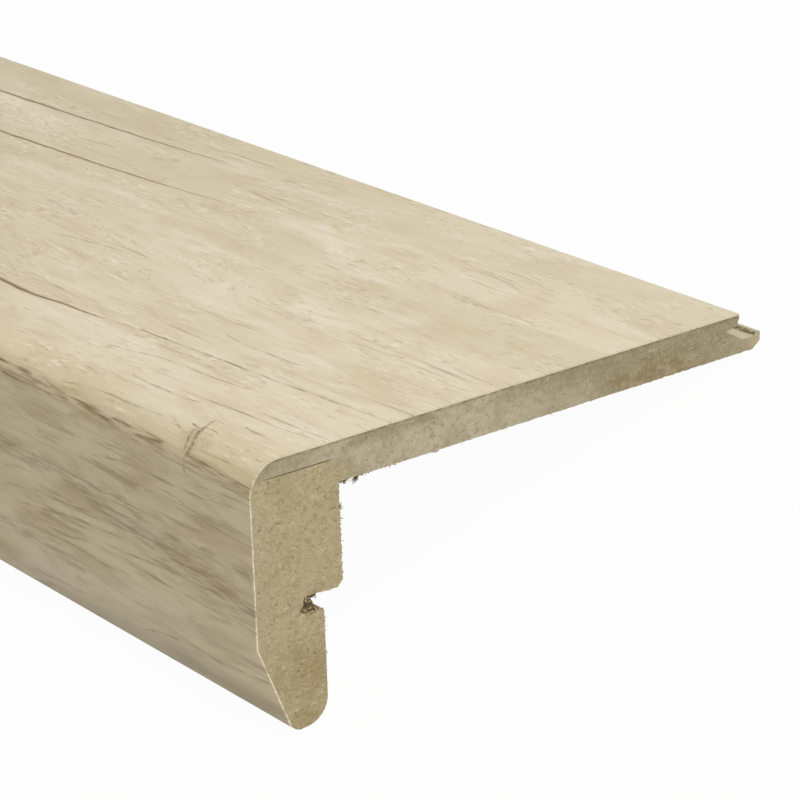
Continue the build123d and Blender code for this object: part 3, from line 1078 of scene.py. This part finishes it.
sawnHdf = {
    "name": "sawnHighDensityFibreboard",
    "base": "#b9ae94",
    "layers": (
        {"name": "clouds", "size": (7, 7, 7), "range": (0.4, 0.7), "colour": "#a5997a", "share": 0.6},
        # painted shade: the board's sawn end is painted darker towards its rear
        {"name": "rear", "size": (1, 16, 9), "range": (0.2, 0.6), "colour": "#8f815d", "share": 0.65,
         "zone": "rear"},
        {"name": "mottle", "size": (1.4, 1.5, 1.3), "range": (0.45, 0.68), "colour": "#988b6d",
         "share": 0.55, "detail": 3},
        {"name": "press", "size": (1, 10, 2.2), "range": (0.3, 0.58), "colour": "#8c8063", "share": 0.6,
         "detail": 3, "zone": "top"},
        {"name": "rearPress", "size": (1, 12, 2.6), "range": (0.25, 0.6), "colour": "#8b8061",
         "share": 0.5, "detail": 3, "zone": "rearTop"},
        {"name": "nose", "size": (1, 4, 3), "range": (0.2, 0.55), "colour": "#8d8163", "share": 0.5,
         "zone": "nose"},
        {"name": "corner", "size": (1, 2.4, 2), "range": (0.25, 0.6), "colour": "#8d8160", "share": 0.5,
         "detail": 3, "zone": "corner"},
        {"name": "joint", "size": (1, 3, 3), "range": (0.1, 0.5), "colour": "#ab9b74", "share": 0.75,
         "zone": "joint"},
        {"name": "lip", "size": (1, 3, 3), "range": (0.1, 0.5), "colour": "#bcae8a", "share": 0.6,
         "zone": "lip"},
        {"name": "scorch", "size": (1, 3.2, 2.0), "range": (0.36, 0.66), "colour": "#7f6b42",
         "share": 0.65, "detail": 5, "zone": "scorched"},
        {"name": "cracks", "size": (1, 1.1, 4.5), "range": (0.66, 0.74), "colour": "#6d6145",
         "share": 0.6, "detail": 4, "zone": "rear"},
        {"name": "fibres", "size": (1, 1.1, 0.38), "turn": 12, "range": (0.58, 0.74),
         "colour": "#cbc1a5", "share": 0.4},
        {"name": "slanted", "size": (1, 0.95, 0.4), "turn": 57, "range": (0.6, 0.75),
         "colour": "#cabfa2", "share": 0.3},
        {"name": "uprights", "size": (1, 0.36, 1.1), "turn": -16, "range": (0.58, 0.74),
         "colour": "#c8bc9e", "share": 0.35},
        {"name": "curls", "size": (1, 2.0, 1.6), "range": (0.03, 0.0), "curls": True, "twist": 1.6,
         "colour": "#d2c8ad", "share": 0.4, "zone": "tufts"},
        {"name": "pores", "size": (0.6, 0.6, 0.55), "turn": 30, "range": (0.65, 0.76),
         "colour": "#766b4c", "share": 0.7},
        {"name": "specks", "size": (0.5, 0.8, 0.9), "range": (0.69, 0.75), "colour": "#544b33",
         "share": 0.8},
        {"name": "arris", "size": (1, 2.2, 0.8), "range": (0.4, 0.66), "colour": "#635a40",
         "share": 0.6, "zone": "arris"},
    ),
    "zones": {
        "top": ("w", -3.4, -1.0),
        "arris": ("w", -0.85, -0.45),
        "rear": ("u", 50, 92),
        "nose": ("u", 18, 6),
        "rearTop": ("uw", 42, 80, -5.8, -2.8),
        "scorched": ("patch", 94, 17, -6.0, 4.2),
        "corner": ("patch", 21.5, 5.5, -7, 3.6),
        "joint": ("patch", 19.0, 3.4, -6.4, 3.4),
        "lip": ("patch", 119.6, 3.0, -6.4, 1.9),
        "tufts": ("islands", (2.6, 2.6, 2.6), 0.46, 0.58, 2.3),
    },
    "roughness": 0.88,
    "relief": 0.12,
}
milledHdf = {
    "name": "milledHighDensityFibreboard",
    "base": "#b9ad8f",
    "layers": (
        *milledLayers((40, 7, 7), "#a79a7b", "#a4987b", "#d2c8ae", "#aca082", "#857a5e"),
        # painted light: the channel's floor is painted paler, as if lit from above
        {"name": "floor", "size": (3, 2, 2), "range": (0.1, 0.5), "colour": "#d2c6a6", "share": 0.5,
         "zone": "channel"},
        # painted shade: the rim's inner wall, which faces the front, is painted dark
        {"name": "rimWall", "size": (1.3, 2, 0.5), "range": (0.35, 0.55), "colour": "#6d6143",
         "share": 0.8, "detail": 3, "zone": "rimWall"},
    ),
    # the rim wall's painted shade and the channel floor's painted light keep to these ovals
    "zones": {"rimWall": ("patch", 119.1, 0.5, -4.9, 0.8), "channel": ("patch", 116.6, 2.6, -5.4, 1.2)},
    "roughness": 0.78,
    "relief": 0.05,
}
sawnMdf = {
    "name": "sawnMediumDensityFibreboard",
    "base": "#b4a582",
    "layers": (
        {"name": "clouds", "size": (9, 9, 9), "range": (0.4, 0.7), "colour": "#a79874", "share": 0.6},
        {"name": "mottle", "size": (1.2, 1.2, 1.2), "range": (0.45, 0.7), "colour": "#9b8c69",
         "share": 0.55},
        {"name": "leg", "size": (1, 8, 8), "range": (0.25, 0.55), "colour": "#9a8a61", "share": 0.7,
         "zone": "leg"},
        {"name": "joint", "size": (1, 3, 3), "range": (0.1, 0.5), "colour": "#ada080", "share": 0.8,
         "zone": "joint"},
        {"name": "front", "size": (1, 3, 6), "range": (0.2, 0.6), "colour": "#b0a486", "share": 0.6,
         "zone": "front"},
        {"name": "shreds", "size": (1, 1.5, 0.6), "turn": 24, "range": (0.56, 0.72),
         "colour": "#978660", "share": 0.4},
        {"name": "fibres", "size": (1, 1.3, 0.36), "turn": 8, "range": (0.58, 0.72),
         "colour": "#cdbd97", "share": 0.45},
        {"name": "uprights", "size": (1, 0.36, 1.5), "turn": -14, "range": (0.57, 0.71),
         "colour": "#c9b991", "share": 0.45},
        {"name": "curls", "size": (1, 2.2, 2.2), "range": (0.032, 0.0), "curls": True, "twist": 1.8,
         "colour": "#d6c8a4", "share": 0.55, "zone": "tufts"},
        {"name": "darkCurls", "size": (1, 1.8, 2.4), "turn": 40, "range": (0.03, 0.0), "curls": True,
         "twist": 1.4, "colour": "#86754d", "share": 0.5, "zone": "tufts"},
        {"name": "pores", "size": (0.6, 0.8, 0.7), "turn": 35, "range": (0.64, 0.75),
         "colour": "#76673f", "share": 0.7},
        {"name": "specks", "size": (0.5, 0.9, 1.0), "turn": 20, "range": (0.7, 0.76),
         "colour": "#5b4d2a", "share": 0.8},
        # dark chips round the slot: partly torn fibre, partly painted shade in their hollows
        {"name": "torn", "size": (1, 0.9, 0.6), "range": (0.4, 0.58), "colour": "#5f5129",
         "share": 0.75, "zone": "slot"},
    ),
    "zones": {
        "leg": ("w", -33, -42),
        "front": ("u", 7, 1),
        # the oval of the chips round the slot, with torn fibre and painted shade
        "slot": ("patch", 11.4, 3.6, -30.0, 1.7),
        "joint": ("patch", 18.6, 4.2, -6.2, 3.6),
        "tufts": ("islands", (2.6, 2.6, 2.6), 0.42, 0.56, 2.3),
    },
    "roughness": 0.9,
    "relief": 0.16,
}
milledMdf = {
    "name": "milledMediumDensityFibreboard",
    "base": "#bcad88",
    "layers": milledLayers((45, 8, 8), "#ad9e79", "#a1926c", "#cdc09d", "#a69873", "#80724f"),
    "zones": {},
    "roughness": 0.8,
    "relief": 0.05,
}


def sectionPlace(tree):
    # millimetres along the stock, back from its face and up from its tread
    here = addNode(tree, "ShaderNodeTexCoord")
    return addNode(tree, "ShaderNodeMapping", {
        "vector_type": "TEXTURE",
        "Location": sectionOrigin, "Rotation": (-restTilt, 0, 0), "Scale": (mm, mm, mm),
    }, {"Vector": here.outputs["Object"]}).outputs[0]


def sectionZone(tree, place, back, up, limits):
    # a zone of the section: "u" and "w" begin and are full at two depths back or heights up, "uw"
    # is both, "patch" an oval with its middle and half width back, then up, and "islands" a noise
    kind, *sizes = limits
    if kind == "islands":
        return noiseZone(tree, place, *sizes)
    if kind == "u":
        return rampZone(tree, back, *sizes)
    if kind == "w":
        return rampZone(tree, up, *sizes)
    if kind == "uw":
        return within(tree, rampZone(tree, back, *sizes[:2]), rampZone(tree, up, *sizes[2:]))
    here = addNode(tree, "ShaderNodeCombineXYZ", None, {0: back, 1: up})
    centred = addNode(tree, "ShaderNodeMapping", {
        "vector_type": "TEXTURE", "Location": (sizes[0], sizes[2], 0), "Scale": (sizes[1], sizes[3], 1),
    }, {"Vector": here.outputs[0]})
    away = addNode(tree, "ShaderNodeVectorMath", {"operation": "LENGTH"}, {0: centred.outputs[0]})
    return rampZone(tree, away.outputs["Value"], *fibreboard["patchFade"])


def makeFibreboard(finish):
    s = {**fibreboard, **finish}
    material, tree = newMaterial(s["name"])
    place = sectionPlace(tree)
    parts = addNode(tree, "ShaderNodeSeparateXYZ", None, {0: place})
    zones = {
        name: sectionZone(tree, place, parts.outputs[1], parts.outputs[2], limits)
        for name, limits in s["zones"].items()
    }
    colour, masks = layColours(tree, place, s["base"], s["layers"], zones)
    hollows = addNode(tree, "ShaderNodeMath", {"operation": "MULTIPLY_ADD", 1: s["poreDepth"]}, {
        0: masks["pores"], 2: masks["mottle"],
    })
    height = addNode(tree, "ShaderNodeMath", {"operation": "SUBTRACT"}, {
        0: masks["fibres"], 1: hollows.outputs[0],
    })
    finishSurface(tree, s, height.outputs[0], {"Base Color": colour})
    return material


# The foil's cut edge: the paper's pale core, seen as a thin bright line down the nose; the saw
# left it browned and dull along the tread
foilEdge = {
    "name": "cutPaperFoilEdge",
    "base": "#fffbf0",
    "layers": (
        {"name": "dust", "size": (0.7, 0.7, 0.7), "range": (0.5, 0.68), "colour": "#e6dfc8", "share": 0.5},
        {"name": "browned", "size": (1, 1.6, 1.6), "range": (0.3, 0.6), "colour": "#8b8062",
         "share": 0.85, "zone": "tread"},
    ),
    "tread": (3.5, 5.5),          # back from the face: where the browned edge begins and is full
    "relief": 0.05,
    "bump": 0.4,
    "roughness": 0.75,
    "ior": 1.5,
}


def makeFoilEdge():
    s = foilEdge
    material, tree = newMaterial(s["name"])
    place = sectionPlace(tree)
    parts = addNode(tree, "ShaderNodeSeparateXYZ", None, {0: place})
    zones = {"tread": rampZone(tree, parts.outputs[1], *s["tread"])}
    colour, masks = layColours(tree, place, s["base"], s["layers"], zones)
    finishSurface(tree, s, masks["dust"], {"Base Color": colour})
    return material


# Torn fibre: loose strands and lumps, dry and matt, some pale; their dark base colour and darker spots are
# painted shade
looseFibre = {
    "name": "tornWoodFibre",
    "base": "#776a45",
    "layers": (
        {"name": "pale", "size": (1.1, 1.1, 1.1), "range": (0.52, 0.62), "colour": "#aea074", "share": 0.8},
        {"name": "dark", "size": (0.8, 0.8, 0.8), "range": (0.52, 0.62), "colour": "#4d4126",
         "share": 0.75},
    ),
    "relief": 0.1,
    "bump": 0.5,
    "roughness": 0.95,
    "ior": 1.45,
}


def makeLooseFibre():
    s = looseFibre
    material, tree = newMaterial(s["name"])
    colour, masks = layColours(tree, sectionPlace(tree), s["base"], s["layers"])
    finishSurface(tree, s, masks["pale"], {"Base Color": colour})
    return material


sawnFacing = 0.6              # the saw made a face that looks this much along the stock
sawnDepth = 1.0               # and lies no deeper than this in its ends


def finishEnds(piece, sawn, milled):
    # the milled faces along the stock, and the sawn ones at its ends
    piece.data.materials.append(milled)
    piece.data.materials.append(sawn)
    sawnFrom = halfLength - sawnDepth * mm
    for face in piece.data.polygons:
        isSawn = abs(face.normal.x) > sawnFacing and abs(face.center.x) > sawnFrom
        face.material_index = 1 if isSawn else 0


board = makeTreadBoard()
print("tread board", len(board.data.polygons))
block = makeNoseBlock()
print("nose block", len(block.data.polygons))
foil = makeDecorFoil()
print("decor foil", len(foil.data.polygons))

for piece, node, smoothAngle in (
    (board, "hdf_board", 32), (block, "mdf_nose_block", 32), (foil, "decor_foil", 30),
):
    seatPiece(piece, node)
    bpy.ops.object.shade_smooth_by_angle(angle=math.radians(smoothAngle))

finishEnds(board, makeFibreboard(sawnHdf), makeFibreboard(milledHdf))
finishEnds(block, makeFibreboard(sawnMdf), makeFibreboard(milledMdf))
foil.data.materials.append(makeDecorPrint())
foil.data.materials.append(makeFoilEdge())
print("finishes made")

fibre = makeLooseFibre()
for name, bunches, crumbs, node in (
    ("tornBoardFibres", tornFibres["board"], tornFibres["boardCrumbs"], "hdf_board"),
    ("tornBlockFibres", tornFibres["block"], tornFibres["blockCrumbs"], "mdf_nose_block"),
):
    piece = makeTornFibres(name, bunches, crumbs)
    piece.data.materials.append(fibre)
    seatPiece(piece, None)
    bpy.ops.object.shade_smooth_by_angle(angle=math.radians(tornFibres["smoothAngle"]))
    print(name, len(piece.data.polygons))


# Stage: a pale floor, a white room and soft light
stage = {
    "floorSize": 12.0,
    "lightWhite": (1, 1, 1, 1),
    "ambient": 0.37,
    "keyTurn": (0.62, 0.22, 0.75),     # from the object towards the lamp
    "keyDistance": 3.0,
    "keySize": 1.6,
    "keyPower": 61.0,
    "floorWhite": "#dcdad5",
    "floorGlow": 0.97,
}


def makeStage():
    s = stage
    bpy.ops.object.select_all(action="DESELECT")
    bpy.ops.mesh.primitive_plane_add(size=s["floorSize"], location=(0, 0, 0))
    floor = bpy.context.object
    floor.name = "floor"
    material, tree = newMaterial("paleFloor")
    light = addNode(tree, "ShaderNodeLightPath")
    seen = addNode(tree, "ShaderNodeMath", {"operation": "MAXIMUM"}, {
        0: light.outputs["Is Camera Ray"], 1: light.outputs["Is Glossy Ray"],
    })
    through = addNode(tree, "ShaderNodeMath", {"operation": "MAXIMUM"}, {
        0: seen.outputs[0], 1: light.outputs["Is Transmission Ray"],
    })
    share = addNode(tree, "ShaderNodeMath", {"operation": "MULTIPLY", 1: s["floorGlow"]}, {
        0: through.outputs[0],
    })
    matt = addNode(tree, "ShaderNodeBsdfDiffuse", {"Color": linearColour(s["floorWhite"])})
    glow = addNode(tree, "ShaderNodeEmission", {"Color": s["lightWhite"], "Strength": 1.0})
    mix = addNode(tree, "ShaderNodeMixShader", None, {
        0: share.outputs[0], 1: matt.outputs[0], 2: glow.outputs[0],
    })
    addNode(tree, "ShaderNodeOutputMaterial", None, {"Surface": mix.outputs[0]})
    floor.data.materials.append(material)

    world = bpy.data.worlds.new("whiteRoom")
    bpy.context.scene.world = world
    world.use_nodes = True
    tree = world.node_tree
    tree.nodes.clear()
    light = addNode(tree, "ShaderNodeLightPath")
    seen = addNode(tree, "ShaderNodeMath", {"operation": "MAXIMUM"}, {
        0: light.outputs["Is Camera Ray"], 1: light.outputs["Is Transmission Ray"],
    })
    strength = addNode(tree, "ShaderNodeMapRange", {"To Min": s["ambient"]}, {"Value": seen.outputs[0]})
    shine = addNode(tree, "ShaderNodeBackground", {"Color": s["lightWhite"]}, {
        "Strength": strength.outputs[0],
    })
    addNode(tree, "ShaderNodeOutputWorld", None, {"Surface": shine.outputs[0]})

    bpy.ops.object.light_add(type="AREA", location=Vector(s["keyTurn"]).normalized() * s["keyDistance"])
    key = bpy.context.object
    key.name = "keyLamp"
    key.data.shape = "DISK"
    key.data.size = s["keySize"]
    key.data.energy = s["keyPower"]
    key.rotation_mode = "QUATERNION"
    key.rotation_quaternion = Vector(s["keyTurn"]).to_track_quat("Z", "Y")


# Camera: set out from the near cut end, in the section's own directions and millimetres
viewpoint = {
    "fromEnd": 407.1,
    "back": -278.8,
    "up": 198.9,
    "look": (-0.74193, 0.56822, -0.35590),
    "roll": -1.825,
    "lens": 140.91,
    "sensor": 36.0,
    "clip": (0.05, 50),
}


def makeCamera():
    s = viewpoint
    look = Vector(s["look"]).normalized()
    right = look.cross(Vector((0, 0, 1))).normalized()
    up = right.cross(look)
    turned = Matrix.Rotation(math.radians(-s["roll"]), 3, look)
    place = Vector((halfLength + s["fromEnd"] * mm, s["back"] * mm, s["up"] * mm))
    stand = Matrix.Translation(place) @ Matrix((turned @ right, turned @ up, -look)).transposed().to_4x4()
    bpy.ops.object.camera_add()
    camera = bpy.context.object
    camera.matrix_world = sectionFrame @ stand
    camera.data.lens = s["lens"]
    camera.data.sensor_width = s["sensor"]
    camera.data.clip_start, camera.data.clip_end = s["clip"]
    bpy.context.scene.camera = camera


makeStage()
makeCamera()
bpy.context.scene.view_settings.view_transform = "Standard"
print("stage and camera set")
